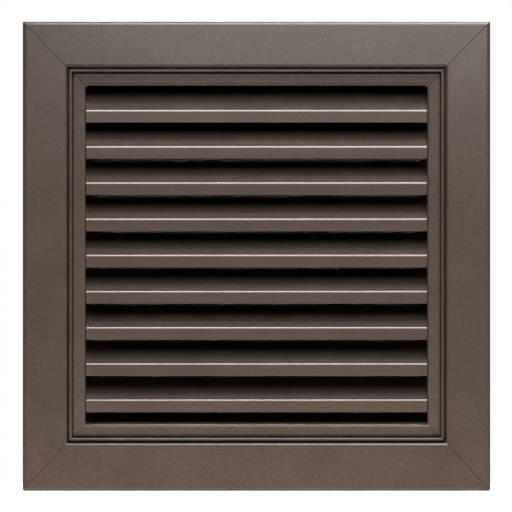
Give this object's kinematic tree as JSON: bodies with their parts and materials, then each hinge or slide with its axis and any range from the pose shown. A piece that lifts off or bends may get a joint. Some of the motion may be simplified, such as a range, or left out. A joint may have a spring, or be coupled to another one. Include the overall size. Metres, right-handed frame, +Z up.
{
  "type": "door louver",
  "caption": "Fixed door louver of folded sheet steel: a mitred flanged frame holds sloping sight-proof blades, and a rear frame clamps it into a cut-out in the door.",
  "frame": {"origin": "centre of the louver, in the middle of the door's thickness", "axes": "+X to the right as seen from the front, +Y from the front to the back, +Z up"},
  "size_m": [0.362, 0.0544, 0.3634],
  "materials": {
    "frame_coat": "dark bronze powder coat, satin",
    "core_coat": "dark bronze powder coat, satin",
    "blade_coat": "dark bronze powder coat, satin",
    "zinc_plate": "zinc plated",
    "screw_coat": "bronze plated"
  },
  "bodies": {
    "root": {"front_frame_head": "frame_coat", "front_frame_sill": "frame_coat", "front_frame_jamb_left": "frame_coat", "front_frame_jamb_right": "frame_coat", "core_head": "core_coat", "core_sill": "core_coat", "core_jamb_left": "core_coat", "core_jamb_right": "core_coat", "blade_1": "blade_coat", "blade_2": "blade_coat", "blade_3": "blade_coat", "blade_4": "blade_coat", "blade_5": "blade_coat", "blade_6": "blade_coat", "blade_7": "blade_coat", "blade_8": "blade_coat", "blade_9": "blade_coat", "bottom_baffle": "blade_coat", "rear_frame_head": "frame_coat", "rear_frame_sill": "frame_coat", "rear_frame_jamb_left": "frame_coat", "rear_frame_jamb_right": "frame_coat", "front_corner_key_top_left": "zinc_plate", "front_corner_key_top_right": "zinc_plate", "front_corner_key_bottom_left": "zinc_plate", "front_corner_key_bottom_right": "zinc_plate", "rear_corner_key_top_left": "zinc_plate", "rear_corner_key_top_right": "zinc_plate", "rear_corner_key_bottom_left": "zinc_plate", "rear_corner_key_bottom_right": "zinc_plate", "screw_clips": "zinc_plate", "clamp_screws": "screw_coat"}
  },
  "joints": []
}
